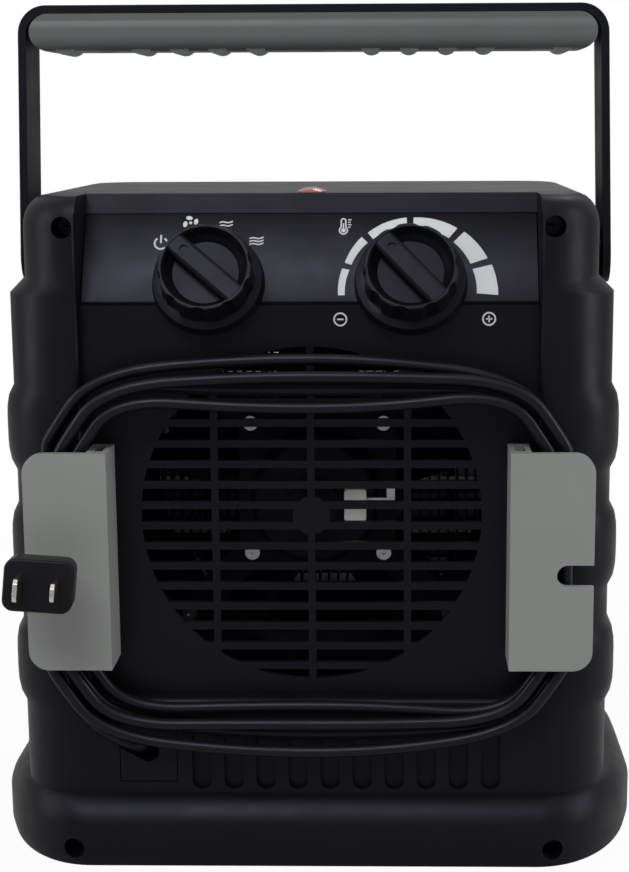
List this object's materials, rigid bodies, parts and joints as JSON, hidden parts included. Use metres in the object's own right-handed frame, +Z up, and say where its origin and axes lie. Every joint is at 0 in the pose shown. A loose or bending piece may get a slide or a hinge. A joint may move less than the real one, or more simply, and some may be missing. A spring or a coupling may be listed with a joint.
{
  "type": "ceramic space heater",
  "caption": "Portable fan-forced heater with a swinging carry handle, rear control knobs, round intake grille and a cord wound on rear brackets.",
  "frame": {"origin": "bottom centre, on the ground between the feet", "axes": "+Z up, -Y towards the rear with the knobs and the cord, +Y the way the warm air leaves, +X to the right as seen from the rear"},
  "size_m": [0.2572, 0.2308, 0.327],
  "materials": {
    "black_plastic": "fine-grained moulded black plastic",
    "knob_plastic": "moulded black plastic, satin",
    "grey_plastic": "moulded mid-grey plastic, satin",
    "grip_plastic": "moulded grey plastic, soft satin",
    "cord_rubber": "smooth black cord jacket",
    "plated_brass": "bright nickel plating",
    "red_lens": "translucent dull red lens",
    "lamp_glass": "clear neon lamp",
    "zinc_steel": "zinc plated",
    "black_steel": "black finish on steel",
    "motor_steel": "dark lacquered can",
    "fan_plastic": "moulded black plastic",
    "bobbin_plastic": "white moulded bobbin",
    "fin_aluminium": "thin strip with a black heat-proof coat",
    "ceramic_bar": "sheathed ceramic bars with a black heat-proof coat",
    "dark_plastic": "black heat-resistant moulding",
    "heat_plastic": "heat-resistant moulding",
    "foot_rubber": "matt black rubber"
  },
  "bodies": {
    "case": {"bracket_screws": "zinc_steel", "case_screws": "black_steel", "coil_bobbin": "bobbin_plastic", "coil_terminal": "zinc_steel", "control_nuts": "zinc_steel", "control_panel": "black_plastic", "cord_bracket_left": "grey_plastic", "cord_bracket_right": "grey_plastic", "cord_gland": "black_plastic", "fan_shroud": "black_steel", "front_grille": "black_plastic", "front_housing": "black_plastic", "heater_fins": "fin_aluminium", "heater_frame": "dark_plastic", "heater_screws": "zinc_steel", "indicator_lamp": "lamp_glass", "indicator_lens": "red_lens", "mode_switch": "heat_plastic", "motor_body": "motor_steel", "motor_mount": "black_steel", "motor_screws": "zinc_steel", "mount_screws": "zinc_steel", "pivot_nuts": "zinc_steel", "pivot_pins": "black_plastic", "plug_blades": "plated_brass", "plug_body": "cord_rubber", "power_cord": "cord_rubber", "ptc_bars": "ceramic_bar", "rear_cover": "black_plastic", "rubber_feet": "foot_rubber", "shroud_screws": "zinc_steel", "terminal_block": "heat_plastic", "thermal_cutout": "heat_plastic", "thermostat": "heat_plastic", "tip_over_switch": "heat_plastic"},
    "handle": {"handle_strap": "black_plastic", "handle_grip": "grip_plastic", "grip_screws": "black_steel"},
    "mode_control": {"mode_knob": "knob_plastic", "mode_shaft": "zinc_steel"},
    "thermostat_control": {"thermostat_knob": "knob_plastic", "thermostat_shaft": "zinc_steel"},
    "fan": {"fan_impeller": "fan_plastic", "motor_shaft": "zinc_steel"},
    "plunger": {"tip_over_plunger": "heat_plastic"}
  },
  "joints": [
    {"name": "handle_swing", "type": "hinge", "parent": "case", "child": "handle", "pos_m": [0, -0.014, 0.2315], "axis": [1, 0, 0], "range_deg": [-55, 55]},
    {"name": "mode_knob_turn", "type": "hinge", "parent": "case", "child": "mode_control", "pos_m": [-0.0376, -0.06783, 0.22334], "axis": [0, -0.8779, 0.4789], "range_deg": [-97, 0]},
    {"name": "thermostat_knob_turn", "type": "hinge", "parent": "case", "child": "thermostat_control", "pos_m": [0.0376, -0.06783, 0.22334], "axis": [0, -0.8779, 0.4789], "range_deg": [-162, 78]},
    {"name": "fan_spin", "type": "hinge", "parent": "case", "child": "fan", "pos_m": [0, 0, 0.1358], "axis": [0, 1, 0], "continuous": true},
    {"name": "tip_over_plunger_slide", "type": "slide", "parent": "case", "child": "plunger", "axis": [0, 0, 1], "range_m": [0, 0.003], "stiffness_N_per_m": 100, "springref_m": -0.002}
  ]
}
